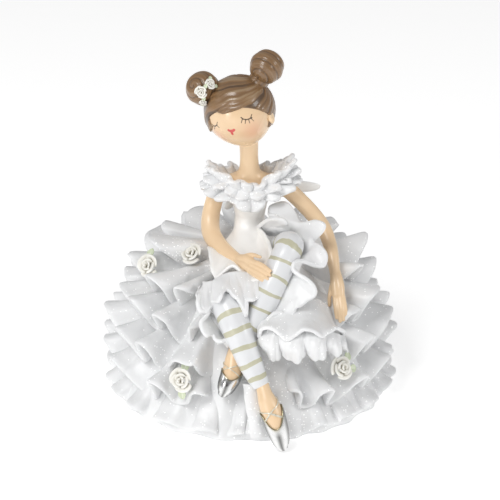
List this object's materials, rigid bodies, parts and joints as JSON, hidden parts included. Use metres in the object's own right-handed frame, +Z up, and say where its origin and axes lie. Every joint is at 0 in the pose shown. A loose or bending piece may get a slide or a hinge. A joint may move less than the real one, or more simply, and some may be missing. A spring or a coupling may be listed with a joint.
{
  "type": "ballerina figurine",
  "caption": "Seated ballerina doll figurine in a wide dome skirt of ruffled flounces, with hair in buns; stands on its flat underside.",
  "frame": {"origin": "centre of the bounding box in X and Y, on the flat underside", "axes": "+Z up, the figure faces -Y, its left side is at +X"},
  "size_m": [0.13, 0.1294, 0.1516],
  "materials": {
    "white_resin": "hand-painted cast resin, satin white with fine glitter"
  },
  "bodies": {
    "root": {"ballerina_figurine": "white_resin"}
  },
  "joints": []
}
